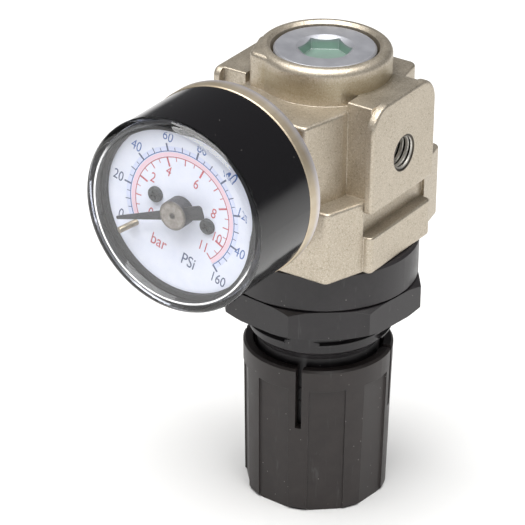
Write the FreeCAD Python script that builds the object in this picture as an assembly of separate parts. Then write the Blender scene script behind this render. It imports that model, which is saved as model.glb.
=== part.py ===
"""Miniature air pressure regulator with gauge, millimetres, one STEP file per piece.

Frame: +Z up through the top boss, adjusting knob at the bottom, gauge facing -Y, ports on -X and +X.
The origin is on the vertical axis, in the panel seat under the bonnet's flange ring.
"""
import FreeCAD, Part
import math
import os

V = FreeCAD.Vector
ORIGIN = V(0, 0, 0)
X_AXIS = V(1, 0, 0)
Z_AXIS = V(0, 0, 1)
SIDES = (-1, 1)
TOUCH = 0.02            # gap left between pieces that rest on each other and move apart
CUT_THROUGH = 0.1       # how far a cutter passes the face it opens

# ---- body -------------------------------------------------------------------------------------------
PORT_SPAN = 25.0        # face to face across the two ports
PORT_Z = 20.5
BODY_BOTTOM_Z = 5.6
GROOVE_LOW_Z = 10.9
GROOVE_TOP_Z = 14.3
GROOVE_WALL_X = 10.8
FLANGE_TOP_Z = 15.9
LEDGE_Z = 27.8
PAD_TOP_Z = 29.0
BOSS_TOP_Z = 32.85
BOSS_R = 8.9
PAD_BACK_X = 11.4
PAD_BLOCK_X = 7.9       # where the block behind each pad leaves the ledge
PAD_BLOCK_HALF_WIDTH = 6.8
PAD_LIP_HALF_WIDTH = 7.7
PAD_ROUND_R = 3.5       # large rounding of the pads' top corners
PAD_SHARP_R = 1.2       # small rounding, at the front of the inlet pad
LOWER_BLOCK_HALF_WIDTH = 7.5
CASTING_LUG_DEG = 213
FRONT_BOSS_Y = -14.5
REAR_BOSS_Y = 11.5
SPIGOT_R = 11.45
SPIGOT_LOW_Z = 2.4
CHAMBER_R = 9.5         # diaphragm chamber
CHAMBER_TOP_Z = 8.5
VALVE_CHAMBER_R = 5.6
VALVE_FLOOR_Z = 15.2
SEAT_Z = 16.0
STEM_BORE_R = 1.5
PLUG_BORE_R = 6.5
PLUG_BORE_LOW_Z = 23.6
RECESS_R = 7.2
RECESS_FLOOR_Z = 30.4
PORT_MINOR_R = 2.1      # M5 x 0.8 port thread
PORT_PITCH = 0.8
PORT_THREAD_DEPTH = 0.4
PORT_GROOVE = 0.34      # thread groove's width at the minor radius
PORT_DEPTH = 5.5
GAUGE_PORT_R = 3.62     # 1/16 taper thread, drawn plain
GAUGE_PORT_FLOOR_Y = 7.8
GAUGE_AXIS_Z = 21.9

# ---- valve ------------------------------------------------------------------------------------------
PLUG_HEAD_R = 6.8
PLUG_TOP_Z = 32.4
PLUG_SKIRT_R = 4.9
PLUG_LOW_Z = 21.5
SOCKET_FLATS = 6.3
SOCKET_FLOOR_Z = 30.6
SOCKET_CORNER_DEG = 33
SPRING_POCKET_R = 4.0
SPRING_POCKET_TOP_Z = 25.0
GUIDE_R = 1.3

# ---- bonnet, panel nut and knob ---------------------------------------------------------------------
RING_R = 13.2
BONNET_THREAD_R = 10.0  # M20 x 1
BONNET_THREAD_ROOT_R = 9.45
BONNET_PITCH = 1.0
BONNET_THREAD_END_Z = -8.6
NECK_R = 8.4
NECK_END_Z = -22.5
SPRING_BORE_R = 7.0
SPRING_BORE_END_Z = -21.0
NUT_FLATS = 26.1
NUT_HEIGHT = 4.0
NUT_SIDES = 8
NUT_CORNER_DEG = 15.7
KNOB_TOP_Z = -10.5
KNOB_BOTTOM_Z = -32.4
KNOB_TOP_R = 10.2
KNOB_BOTTOM_R = 9.75
KNOB_BORE_R = 8.7
KNOB_POCKET_R = 8.1      # below the neck's reach
KNOB_FLOOR_Z = -29.9
KNOB_SLOTS = 4
KNOB_SLOT_WIDTH = 0.85
KNOB_SLOT_LENGTH = 9.0
KNOB_SLOT_DEG = 18.0    # first slot, from -Y towards +X
KNOB_RECESSES = 8
KNOB_RECESS_DEPTH = 0.62
KNOB_RECESS_FLOOR_HALF = 2.4
KNOB_RECESS_MOUTH_HALF = 2.6
KEYWAY_DEG = 19.0       # flat on the bonnet thread, from -Y towards +X

# ---- adjusting screw and springs --------------------------------------------------------------------
SCREW_R = 3.0           # M6 x 1, left hand
SHAFT_FLATS = 5.2
SHAFT_END_Z = -29.0
NUT_DISC_LOW_Z = -17.0
NUT_DISC_TOP_Z = -15.5
KEY_HALF_WIDTH = 0.8
KEY_R = 7.6
RUNNING_GAP = 0.05

# ---- gauge: depth runs from the port axis plane towards -Y -------------------------------------------
LENS_R = 13.12
LENS_FRONT = 35.5
LENS_SKIRT_END = 30.9
LENS_SKIRT_R = 12.6      # the skirt sits inside the sleeve, the rim in front of it
LENS_BORE_R = 12.2
LENS_WALL = 0.65
GASKET_FRONT = 33.0
CASE_BACK = 20.6
CASE_BACK_WALL = 0.5
SLEEVE_END = 23.2
SLEEVE_FRONT = 34.3
DIAL_FACE = 32.4
DIAL_THICKNESS = 0.3
DIAL_R = 11.3
DIAL_SCREW_CIRCLE_R = 4.1
DIAL_TILT_DEG = -16.0   # the dial's own horizontal, from +X towards +Z
POINTER_ZERO_DEG = 198.5
STOP_PIN_DEG = 208.0    # the pin leans outward from its foot
STOP_PIN_FOOT_R = 7.45
STOP_PIN_TIP_R = 9.2
STOP_PIN_HEIGHT = 2.2
STOP_PIN_R = 0.42
POINTER_REACH = 9.4
POINTER_BACK = 33.8
POINTER_HUB_R = 1.95
POINTER_HUB_FRONT = 34.4
PINION_TEETH = 10
SECTOR_RATIO = 8
GEAR_MODULE = 0.2
PRESSURE_ANGLE = math.radians(20)
SECTOR_PIVOT = V(8.0, -4.12, 0)
SECTOR_TAIL = 2.0
SECTOR_SWING_DEG = 30.75
TUBE_R = 10.2


# ---- helpers ----------------------------------------------------------------------------------------
def cylinder(radius, low, high, x=0.0, y=0.0):
    """upright cylinder"""
    return Part.makeCylinder(radius, high - low, V(x, y, low))


def ring(outer, inner, low, high):
    """upright ring about the Z axis"""
    return cylinder(outer, low, high).cut(cylinder(inner, low - CUT_THROUGH, high + CUT_THROUGH))


def cylinder_along(radius, start, end):
    """cylinder between two points"""
    return Part.makeCylinder(radius, start.distanceToPoint(end), start, end - start)


def box(x0, x1, y0, y1, z0, z1):
    return Part.makeBox(x1 - x0, y1 - y0, z1 - z0, V(x0, y0, z0))


def revolved(outline):
    """solid of revolution about Z from (radius, z) points"""
    points = [V(radius, 0, z) for radius, z in outline]
    face = Part.Face(Part.makePolygon(points + points[:1]))
    return face.revolve(ORIGIN, Z_AXIS, 360)


def rounded_wire(corners):
    """closed wire in the XY plane through (x, y, corner radius) points"""
    points = [V(x, y, 0) for x, y, radius in corners]
    count = len(points)
    starts = []
    middles = []
    ends = []
    for index, here in enumerate(points):
        radius = corners[index][2]
        back = (points[index - 1] - here).normalize()
        ahead = (points[(index + 1) % count] - here).normalize()
        half = back.getAngle(ahead) / 2
        reach = radius / math.tan(half)
        starts.append(here + back * reach)
        ends.append(here + ahead * reach)
        middles.append(here + (back + ahead).normalize() * (radius / math.sin(half) - radius))
    edges = []
    for index in range(count):
        if corners[index][2] > 0:
            edges.append(Part.Arc(starts[index], middles[index], ends[index]).toShape())
        edges.append(Part.makeLine(ends[index], starts[(index + 1) % count]))
    return Part.Wire(edges)


def prism(corners, low, high):
    """upright prism with rounded corners"""
    face = Part.Face(rounded_wire(corners))
    face.translate(V(0, 0, low))
    return face.extrude(V(0, 0, high - low))


def along_x(corners, near, far, edge_r):
    """prism with a (y, z, corner radius) outline between two x, its far edges rounded"""
    solid = prism(corners, near, far)
    if edge_r > 0:
        solid = fillet_at(solid, edge_r, far)
    solid.rotate(ORIGIN, V(1, 1, 1), 120)
    return solid


def regular_prism(sides, flats, corner_deg, low, high):
    """upright regular prism, given across its flats"""
    radius = flats / 2 / math.cos(math.pi / sides)
    angles = [math.radians(corner_deg) + math.tau * index / sides for index in range(sides)]
    return prism([(radius * math.cos(a), radius * math.sin(a), 0) for a in angles], low, high)


def mirrored_in_x(corners):
    """the corner list completed with its mirror image across the YZ plane"""
    return corners + [(-x, y, radius) for x, y, radius in reversed(corners)]


def fillet_at(shape, radius, z):
    """rounds every edge that lies at one height"""
    edges = [e for e in shape.Edges if all(abs(v.Point.z - z) < 1e-6 for v in e.Vertexes)]
    return shape.makeFillet(radius, edges)


def turned(shape, degrees, centre=ORIGIN, axis=Z_AXIS):
    copy = shape.copy()
    copy.rotate(centre, axis, degrees)
    return copy


def moved(shape, x=0.0, y=0.0, z=0.0):
    copy = shape.copy()
    copy.translate(V(x, y, z))
    return copy


def azimuth_copies(shape, count, first_deg):
    """copies about Z of a shape drawn facing -Y, the first turned towards +X"""
    return [turned(shape, first_deg + 360.0 * index / count) for index in range(count)]


def helix_sweep(radius, pitch, length, profile, left_hand=False):
    """sweep of an (r, z) polygon along a helix that starts at z = 0"""
    helix = Part.makeHelix(pitch, length, radius, 0, left_hand)
    points = [V(r, 0, z) for r, z in profile]
    outline = Part.makePolygon(points + points[:1])
    return Part.Wire(helix.Edges).makePipeShell([outline], True, True)


def coil_spring(mean_r, wire_r, low, high, turns):
    """open coil of round wire between two heights"""
    pitch = (high - low - 2 * wire_r) / turns
    helix = Part.makeHelix(pitch, pitch * turns, mean_r)
    section = Part.Wire(Part.makeCircle(wire_r, V(mean_r, 0, 0), V(0, 1, 0)))
    spring = Part.Wire(helix.Edges).makePipeShell([section], True, True)
    spring.translate(V(0, 0, low + wire_r))
    return spring


def on_gauge(shape):
    """gauge-local shape (x right, y up, z towards the reader) moved to its place"""
    copy = turned(shape, 90, ORIGIN, X_AXIS)
    copy.translate(V(0, 0, GAUGE_AXIS_Z))
    return copy


def polar(radius, degrees):
    return V(radius * math.cos(math.radians(degrees)), radius * math.sin(math.radians(degrees)), 0)


# ---- body -------------------------------------------------------------------------------------------
def port_pad(side):
    """flat pad around one port, with its two rounded top corners, and the block behind it"""
    front_r = PAD_ROUND_R if side > 0 else PAD_SHARP_R
    lip = along_x([
        (-PAD_LIP_HALF_WIDTH, GROOVE_TOP_Z, 0.6),
        (PAD_LIP_HALF_WIDTH, GROOVE_TOP_Z, 0.6),
        (PAD_LIP_HALF_WIDTH, PAD_TOP_Z, PAD_ROUND_R),
        (-PAD_LIP_HALF_WIDTH, PAD_TOP_Z, front_r),
    ], PAD_BACK_X, PORT_SPAN / 2, 0.45)
    block = along_x([
        (-PAD_BLOCK_HALF_WIDTH, GROOVE_TOP_Z - 1, 0.3),
        (PAD_BLOCK_HALF_WIDTH, GROOVE_TOP_Z - 1, 0.3),
        (PAD_BLOCK_HALF_WIDTH, PAD_TOP_Z, PAD_ROUND_R - 0.5),
        (-PAD_BLOCK_HALF_WIDTH, PAD_TOP_Z, 0.25),
    ], PAD_BLOCK_X, PAD_BACK_X + 0.1, 0)
    pad = lip.fuse(block)
    return pad if side > 0 else pad.mirror(ORIGIN, X_AXIS)


def body_outside():
    flange_side = [(9.4, -13.4, 1.0), (11.3, -7.5, 0.4), (11.3, 7.5, 0.4), (10.05, 13.4, 1.0)]
    flange = prism(mirrored_in_x(flange_side), BODY_BOTTOM_Z, FLANGE_TOP_Z)
    flange = fillet_at(fillet_at(flange, 0.4, FLANGE_TOP_Z), 0.5, BODY_BOTTOM_Z)
    half_span = PORT_SPAN / 2
    lower_side = [(half_span, -LOWER_BLOCK_HALF_WIDTH, 0.8), (half_span, LOWER_BLOCK_HALF_WIDTH, 0.8)]
    lower_block = prism(mirrored_in_x(lower_side), BODY_BOTTOM_Z, GROOVE_LOW_Z)
    lower_block = fillet_at(fillet_at(lower_block, 0.3, GROOVE_LOW_Z), 0.5, BODY_BOTTOM_Z)
    core = box(-GROOVE_WALL_X, GROOVE_WALL_X, -PAD_BLOCK_HALF_WIDTH, PAD_BLOCK_HALF_WIDTH,
               BODY_BOTTOM_Z + 1, PORT_Z)
    front_side = [(6.4, FRONT_BOSS_Y, 0.8), (8.0, -7.9, 0.4), (8.0, 0, 0)]
    front_boss = fillet_at(prism(mirrored_in_x(front_side), GROOVE_LOW_Z, LEDGE_Z), 0.45, LEDGE_Z)
    rear_side = [(7.2, REAR_BOSS_Y, 1.2), (8.0, 7.0, 0.4), (8.0, 0, 0)]
    rear_boss = fillet_at(prism(mirrored_in_x(rear_side), GROOVE_LOW_Z, LEDGE_Z), 0.4, LEDGE_Z)
    top_boss = fillet_at(cylinder(BOSS_R, PORT_Z, BOSS_TOP_Z), 1.1, BOSS_TOP_Z)
    lug_top = BOSS_TOP_Z - 0.25
    casting_lug = prism([(7.4, -3.3, 0), (8.6, -2.9, 1.1), (9.9, 2.5, 1.2), (7.4, 4.6, 0)],
                        LEDGE_Z - 1, lug_top)
    casting_lug = turned(fillet_at(casting_lug, 0.6, lug_top), CASTING_LUG_DEG)
    spigot = cylinder(SPIGOT_R, SPIGOT_LOW_Z, BODY_BOTTOM_Z + 1)
    pieces = [lower_block, core, front_boss, rear_boss, top_boss, casting_lug, spigot]
    pieces += [port_pad(side) for side in SIDES]
    return flange.multiFuse(pieces).removeSplitter()


def port_cutter(side):
    """drilled and tapped port with a countersunk mouth, opening at one pad"""
    drill = cylinder(PORT_MINOR_R, 0, PORT_DEPTH + CUT_THROUGH)
    mouth = Part.makeCone(PORT_MINOR_R, PORT_MINOR_R + 0.4, 0.4, V(0, 0, PORT_DEPTH - 0.3))
    wide = PORT_GROOVE / 2 + 0.06
    profile = [(PORT_MINOR_R - 0.2, -wide), (PORT_MINOR_R + PORT_THREAD_DEPTH, -0.05),
               (PORT_MINOR_R + PORT_THREAD_DEPTH, 0.05), (PORT_MINOR_R - 0.2, wide)]
    groove = moved(helix_sweep(PORT_MINOR_R, PORT_PITCH, PORT_DEPTH + 0.2, profile), z=0.8)
    tilt = 90 if side > 0 else -90
    cutters = [turned(shape, tilt, ORIGIN, V(0, 1, 0)) for shape in (groove, drill, mouth)]
    offset = side * (PORT_SPAN / 2 - PORT_DEPTH)
    return [moved(cutter, x=offset, z=PORT_Z) for cutter in cutters]


def make_body():
    body = body_outside()
    seat_lip = ring(2.6, 2.0, VALVE_FLOOR_Z - CUT_THROUGH, SEAT_Z)
    mouth_bevel = Part.makeCone(RECESS_R, RECESS_R + 0.5, 0.5, V(0, 0, BOSS_TOP_Z - 0.4))
    cutters = [
        cylinder(RECESS_R, RECESS_FLOOR_Z, BOSS_TOP_Z + 1),
        mouth_bevel,
        cylinder(PLUG_BORE_R, PLUG_BORE_LOW_Z, RECESS_FLOOR_Z + CUT_THROUGH),
        cylinder(VALVE_CHAMBER_R, VALVE_FLOOR_Z, PLUG_BORE_LOW_Z + CUT_THROUGH).cut(seat_lip),
        cylinder(STEM_BORE_R, CHAMBER_TOP_Z - CUT_THROUGH, SEAT_Z + CUT_THROUGH),
        cylinder(CHAMBER_R, SPIGOT_LOW_Z - 1, CHAMBER_TOP_Z),
        cylinder_along(STEM_BORE_R, V(-7.1, 0, PORT_Z), V(-5.0, 0, PORT_Z)),
        cylinder(1.1, CHAMBER_TOP_Z - CUT_THROUGH, PORT_Z, x=8.2),
        cylinder_along(GAUGE_PORT_R, V(0, FRONT_BOSS_Y - 1, GAUGE_AXIS_Z),
                       V(0, -GAUGE_PORT_FLOOR_Y, GAUGE_AXIS_Z)),
        cylinder_along(GAUGE_PORT_R, V(0, REAR_BOSS_Y + 1, GAUGE_AXIS_Z),
                       V(0, GAUGE_PORT_FLOOR_Y, GAUGE_AXIS_Z)),
    ]
    for side in SIDES:
        half_width = LOWER_BLOCK_HALF_WIDTH + 0.1
        near, far = sorted((side * GROOVE_WALL_X, side * PORT_SPAN))
        cutters.append(box(near, far, -half_width, half_width, GROOVE_LOW_Z, GROOVE_TOP_Z))
        cutters.append(cylinder(0.8, CHAMBER_TOP_Z - CUT_THROUGH, PORT_Z, y=side * 8.6))
        cutters += port_cutter(side)
    for cutter in cutters:
        body = body.cut(cutter)
    return body


# ---- valve ------------------------------------------------------------------------------------------
def make_valve_guide_plug():
    plug = revolved([
        (0, PLUG_LOW_Z), (PLUG_SKIRT_R, PLUG_LOW_Z), (PLUG_SKIRT_R, PLUG_BORE_LOW_Z + 0.1),
        (PLUG_BORE_R - TOUCH, PLUG_BORE_LOW_Z + 0.1), (PLUG_BORE_R - TOUCH, 24.4), (5.4, 24.4),
        (5.4, 25.6), (PLUG_BORE_R - TOUCH, 25.6), (PLUG_BORE_R - TOUCH, RECESS_FLOOR_Z),
        (PLUG_HEAD_R, RECESS_FLOOR_Z), (PLUG_HEAD_R, PLUG_TOP_Z - 0.25),
        (PLUG_HEAD_R - 0.25, PLUG_TOP_Z), (0, PLUG_TOP_Z),
    ])
    socket = regular_prism(6, SOCKET_FLATS, SOCKET_CORNER_DEG, SOCKET_FLOOR_Z, PLUG_TOP_Z + 1)
    countersink = Part.makeCone(SOCKET_FLATS / 2, SOCKET_FLATS / 2 + 1.0, 0.6, V(0, 0, PLUG_TOP_Z - 0.45))
    pocket = cylinder(SPRING_POCKET_R, PLUG_LOW_Z - 1, SPRING_POCKET_TOP_Z)
    guide = cylinder(GUIDE_R + RUNNING_GAP, SPRING_POCKET_TOP_Z - CUT_THROUGH, 27.0)
    return plug.cut(socket).cut(countersink).cut(pocket).cut(guide)


def make_plug_o_ring():
    return Part.makeTorus(5.95, 0.53, V(0, 0, 25.0))


def make_valve_poppet():
    return revolved([
        (0, 4.3 + TOUCH), (0.4, 4.3 + TOUCH), (0.9, 4.9), (0.9, 16.6), (3.4, 16.6), (3.4, 17.7),
        (3.1, 18.0), (GUIDE_R, 18.0), (GUIDE_R, 26.1), (GUIDE_R - 0.3, 26.4), (0, 26.4),
    ])


def make_valve_rubber():
    return revolved([(0.9, SEAT_Z + TOUCH), (3.2, SEAT_Z + TOUCH), (3.2, 16.6), (0.9, 16.6)])


def make_valve_spring():
    return coil_spring(2.6, 0.28, 18.0, SPRING_POCKET_TOP_Z, 5)


def make_rear_gauge_plug():
    plug = Part.makeCylinder(GAUGE_PORT_R - TOUCH, 3.3, V(0, 8.0, GAUGE_AXIS_Z), V(0, 1, 0))
    socket = regular_prism(6, 3.0, 0, 0, 2.4)
    socket.rotate(ORIGIN, X_AXIS, -90)
    return plug.cut(moved(socket, y=9.4, z=GAUGE_AXIS_Z))


# ---- diaphragm --------------------------------------------------------------------------------------
def make_slip_ring():
    return ring(11.4, 9.2, 1.0, 1.4)


def make_diaphragm():
    return revolved([
        (1.6, 1.65), (7.2, 1.65), (7.6, 2.1), (8.3, 2.4), (9.0, 2.1), (9.2, 1.65), (9.4, 1.4),
        (11.4, 1.4), (11.4, SPIGOT_LOW_Z), (9.45, SPIGOT_LOW_Z), (9.2, 2.6), (8.3, 2.9),
        (7.4, 2.6), (7.0, 2.15), (1.6, 2.15),
    ])


def make_relief_seat():
    return revolved([
        (0.5, -1.0), (1.3, -1.0), (1.6, -0.7), (1.6, 2.15), (4.0, 2.15), (4.0, 2.7), (3.8, 2.9),
        (1.6, 2.9), (1.6, 4.3), (0.5, 4.3),
    ])


def make_diaphragm_plate():
    return revolved([
        (1.6, -0.6), (4.5, -0.6), (4.6, -0.4), (4.6, 0.9), (6.7, 0.9), (6.7, 1.65), (1.6, 1.65),
    ])


def make_main_spring():
    return coil_spring(5.45, 0.7, NUT_DISC_TOP_Z, 0.9, 6)


# ---- bonnet, panel nut ------------------------------------------------------------------------------
def make_bonnet():
    bonnet = revolved([
        (SPRING_BORE_R, SPRING_BORE_END_Z), (SPRING_BORE_R, 1.0), (11.5, 1.0), (11.5, BODY_BOTTOM_Z),
        (RING_R - 0.3, BODY_BOTTOM_Z), (RING_R, BODY_BOTTOM_Z - 0.3), (RING_R, 0.35), (RING_R - 0.35, 0),
        (BONNET_THREAD_ROOT_R, 0), (BONNET_THREAD_ROOT_R, BONNET_THREAD_END_Z + 0.5),
        (BONNET_THREAD_ROOT_R - 0.5, BONNET_THREAD_END_Z), (NECK_R + 0.2, BONNET_THREAD_END_Z - 0.3),
        (NECK_R, BONNET_THREAD_END_Z - 0.9), (NECK_R, -13.8), (NECK_R - 0.15, -14.0), (NECK_R, -14.2),
        (NECK_R, -15.8), (NECK_R - 0.15, -16.0), (NECK_R, -16.2), (NECK_R, NECK_END_Z + 0.4),
        (NECK_R - 0.4, NECK_END_Z), (SCREW_R + RUNNING_GAP, NECK_END_Z),
        (SCREW_R + RUNNING_GAP, SPRING_BORE_END_Z),
    ])
    crest = 0.12
    flank = 0.42
    ridge = [(BONNET_THREAD_ROOT_R - 0.1, -flank), (BONNET_THREAD_R, -crest),
             (BONNET_THREAD_R, crest), (BONNET_THREAD_ROOT_R - 0.1, flank)]
    length = -BONNET_THREAD_END_Z - 1.6
    thread = helix_sweep(BONNET_THREAD_ROOT_R, BONNET_PITCH, length, ridge)
    bonnet = bonnet.fuse(moved(thread, z=BONNET_THREAD_END_Z + 1.0))
    keyway = box(-2.4, 2.4, -RING_R, -BONNET_THREAD_ROOT_R + 0.1, BONNET_THREAD_END_Z - 1, -0.6)
    for cutter in azimuth_copies(keyway, 2, KEYWAY_DEG):
        bonnet = bonnet.cut(cutter)
    key_slot = box(-KEY_HALF_WIDTH - 0.1, KEY_HALF_WIDTH + 0.1, -KEY_R - 0.1, 0, SPRING_BORE_END_Z, -4.0)
    for cutter in azimuth_copies(key_slot, 2, 90):
        bonnet = bonnet.cut(cutter)
    return bonnet


def make_panel_nut():
    nut = regular_prism(NUT_SIDES, NUT_FLATS, NUT_CORNER_DEG, -NUT_HEIGHT, 0)
    corner_r = NUT_FLATS / 2 / math.cos(math.pi / NUT_SIDES)
    bevelled = revolved([
        (BONNET_THREAD_R + TOUCH, 0), (corner_r - 0.8, 0), (corner_r + 0.1, -0.5),
        (corner_r + 0.1, -NUT_HEIGHT + 0.5), (corner_r - 0.8, -NUT_HEIGHT),
        (BONNET_THREAD_R + 0.5, -NUT_HEIGHT), (BONNET_THREAD_R + TOUCH, -NUT_HEIGHT + 0.5),
    ])
    return nut.common(bevelled)


# ---- adjusting screw and knob -----------------------------------------------------------------------
def make_adjusting_nut():
    nut = revolved([
        (SCREW_R + RUNNING_GAP, -18.9), (4.2, -18.9), (4.2, NUT_DISC_LOW_Z),
        (SPRING_BORE_R - 0.1, NUT_DISC_LOW_Z), (SPRING_BORE_R - 0.1, NUT_DISC_TOP_Z),
        (4.3, NUT_DISC_TOP_Z), (4.3, -13.7), (4.1, -13.5), (SCREW_R + RUNNING_GAP, -13.5),
    ])
    key = box(-KEY_HALF_WIDTH, KEY_HALF_WIDTH, -KEY_R, -SPRING_BORE_R + 1, NUT_DISC_LOW_Z, NUT_DISC_TOP_Z)
    return nut.multiFuse(azimuth_copies(key, 2, 90))


def make_thrust_washer():
    return ring(5.6, 3.3, SPRING_BORE_END_Z, -20.5)


def make_adjusting_screw():
    screw = revolved([
        (0, SHAFT_END_Z), (2.7, SHAFT_END_Z), (SCREW_R, SHAFT_END_Z + 0.3), (SCREW_R, -20.48),
        (5.0, -20.48), (5.0, -19.3), (SCREW_R, -19.3), (SCREW_R, -9.5), (2.5, -9.0), (0, -9.0),
    ])
    drive = regular_prism(6, SHAFT_FLATS, 0, SHAFT_END_Z - 1, NECK_END_Z - 0.1)
    drive_band = ring(SCREW_R + 1, 0.1, SHAFT_END_Z - 1, NECK_END_Z - 0.1)
    return screw.cut(drive_band.cut(drive))


def make_knob():
    wall_slope = (KNOB_TOP_R - KNOB_BOTTOM_R) / (KNOB_TOP_Z - KNOB_BOTTOM_Z)
    knob = revolved([
        (0, KNOB_BOTTOM_Z + 0.3), (8.2, KNOB_BOTTOM_Z + 0.3), (8.4, KNOB_BOTTOM_Z),
        (KNOB_BOTTOM_R - 0.4, KNOB_BOTTOM_Z), (KNOB_BOTTOM_R, KNOB_BOTTOM_Z + 0.4),
        (KNOB_TOP_R, KNOB_TOP_Z - 0.3), (KNOB_TOP_R - 0.3, KNOB_TOP_Z), (KNOB_BORE_R + 0.2, KNOB_TOP_Z),
        (KNOB_BORE_R, KNOB_TOP_Z - 0.2), (KNOB_BORE_R, -13.8), (KNOB_BORE_R - 0.2, -14.0),
        (KNOB_BORE_R, -14.2), (KNOB_BORE_R, -23.2), (KNOB_POCKET_R, -23.8), (KNOB_POCKET_R, KNOB_FLOOR_Z),
        (4.6, KNOB_FLOOR_Z), (4.4, -23.0), (0, -23.0),
    ])
    recess_floor = KNOB_TOP_R - KNOB_RECESS_DEPTH
    recess_top = KNOB_TOP_Z - 3.1
    recess = prism([(-KNOB_RECESS_FLOOR_HALF, -recess_floor, 0), (-KNOB_RECESS_MOUTH_HALF, -KNOB_TOP_R, 0),
                    (KNOB_RECESS_MOUTH_HALF, -KNOB_TOP_R, 0), (KNOB_RECESS_FLOOR_HALF, -recess_floor, 0)],
                   KNOB_BOTTOM_Z - 2, recess_top)
    recess = turned(recess, math.degrees(math.atan(wall_slope)), V(0, -recess_floor, recess_top), X_AXIS)
    slot = box(-KNOB_SLOT_WIDTH / 2, KNOB_SLOT_WIDTH / 2, -KNOB_TOP_R - 1, -KNOB_BORE_R + 1,
               KNOB_TOP_Z - KNOB_SLOT_LENGTH, KNOB_TOP_Z + 1)
    cutters = azimuth_copies(recess, KNOB_RECESSES, KNOB_SLOT_DEG - 180.0 / KNOB_RECESSES)
    cutters += azimuth_copies(slot, KNOB_SLOTS, KNOB_SLOT_DEG)
    cutters.append(regular_prism(6, SHAFT_FLATS + 0.1, 0, KNOB_FLOOR_Z, -22.0))
    for cutter in cutters:
        knob = knob.cut(cutter)
    return knob


# ---- gauge case -------------------------------------------------------------------------------------
def make_gauge_socket():
    stem = cylinder(GAUGE_PORT_R - TOUCH, 9.3, -FRONT_BOSS_Y)
    collar = cylinder(4.6, -FRONT_BOSS_Y, -FRONT_BOSS_Y + 0.6)
    wrench_hex = regular_prism(6, 10.0, 0, -FRONT_BOSS_Y + 0.6, 19.0)
    neck = cylinder(3.6, 19.0, 21.2)
    block = prism([(-3.4, -11.3, 1), (3.4, -11.3, 1), (3.4, 3.4, 0.6), (-3.4, 3.4, 0.6)], 21.1, 25.3)
    socket = stem.multiFuse([collar, wrench_hex, neck, block]).removeSplitter()
    bore = cylinder(0.8, 9.0, 24.0)
    feed = cylinder_along(0.6, V(0, 0, 23.6), V(0, -10.4, 23.6))
    tube_seat = bourdon_solid(0.62, 1.52, 24)
    return on_gauge(socket.cut(bore).cut(feed).cut(tube_seat))


def bourdon_solid(half_radial, half_depth, sweep_deg):
    """stretch of flattened tube, drawn from its root at the bottom, clockwise for the reader"""
    middle = 23.6
    section = [V(TUBE_R + dr, 0, middle + dz) for dr, dz in (
        (-half_radial, -half_depth * 0.7), (-half_radial, half_depth * 0.7),
        (-half_radial * 0.4, half_depth), (half_radial * 0.4, half_depth),
        (half_radial, half_depth * 0.7), (half_radial, -half_depth * 0.7),
        (half_radial * 0.4, -half_depth), (-half_radial * 0.4, -half_depth))]
    face = Part.Face(Part.makePolygon(section + section[:1]))
    face.rotate(ORIGIN, Z_AXIS, -90)
    return face.revolve(ORIGIN, Z_AXIS, -sweep_deg)


def make_bourdon_tube():
    outer = bourdon_solid(0.6, 1.5, 270)
    inner = bourdon_solid(0.35, 1.25, 270)
    return on_gauge(outer.cut(inner))


def make_gauge_case():
    case = revolved([
        (3.7, CASE_BACK), (12.3, CASE_BACK), (12.75, CASE_BACK + 0.12), (13.02, CASE_BACK + 0.38),
        (13.1, CASE_BACK + 0.75), (13.1, SLEEVE_END - 0.15), (12.95, SLEEVE_END), (12.6, SLEEVE_END),
        (12.6, LENS_SKIRT_END), (12.3, LENS_SKIRT_END), (12.3, CASE_BACK + 1.0), (11.9, CASE_BACK + 0.6),
        (11.8, CASE_BACK + CASE_BACK_WALL), (3.7, CASE_BACK + CASE_BACK_WALL),
    ])
    return on_gauge(case)


def make_gauge_sleeve():
    return on_gauge(ring(12.98, LENS_SKIRT_R + TOUCH, SLEEVE_END, SLEEVE_FRONT))


def make_lens():
    inner_front = LENS_FRONT - LENS_WALL
    rim = fillet_at(cylinder(LENS_R, SLEEVE_FRONT, LENS_FRONT), 0.9, LENS_FRONT)
    lens = rim.fuse(cylinder(LENS_SKIRT_R, LENS_SKIRT_END, SLEEVE_FRONT + 0.1))
    hollow = fillet_at(cylinder(LENS_BORE_R, LENS_SKIRT_END - 1, inner_front), 0.8, inner_front)
    return on_gauge(lens.cut(hollow))


def make_lens_gasket():
    return on_gauge(revolved([
        (11.35, 31.3), (12.15, 31.3), (12.15, GASKET_FRONT - 0.3), (11.85, GASKET_FRONT),
        (11.35, GASKET_FRONT),
    ]))


# ---- gauge dial and pointer -------------------------------------------------------------------------
def dial_screw_places():
    return [polar(DIAL_SCREW_CIRCLE_R, DIAL_TILT_DEG), polar(DIAL_SCREW_CIRCLE_R, DIAL_TILT_DEG + 180)]


def make_dial():
    back = DIAL_FACE - DIAL_THICKNESS
    dial = cylinder(DIAL_R, back, DIAL_FACE).cut(cylinder(1.1, back - 1, DIAL_FACE + 1))
    for place in dial_screw_places():
        dial = dial.cut(cylinder(0.6, back - 1, DIAL_FACE + 1, place.x, place.y))
    return on_gauge(dial)


def make_dial_screws():
    screws = []
    for place in dial_screw_places():
        head = fillet_at(cylinder(1.05, DIAL_FACE, DIAL_FACE + 0.5), 0.25, DIAL_FACE + 0.5)
        shank = cylinder(0.5, DIAL_FACE - 1.2, DIAL_FACE + 0.1)
        arm = box(-0.6, 0.6, -0.14, 0.14, DIAL_FACE + 0.2, DIAL_FACE + 1)
        screw = head.fuse(shank).cut(arm).cut(turned(arm, 90))
        screws.append(moved(turned(screw, 27), place.x, place.y))
    return on_gauge(Part.Compound(screws))


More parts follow.
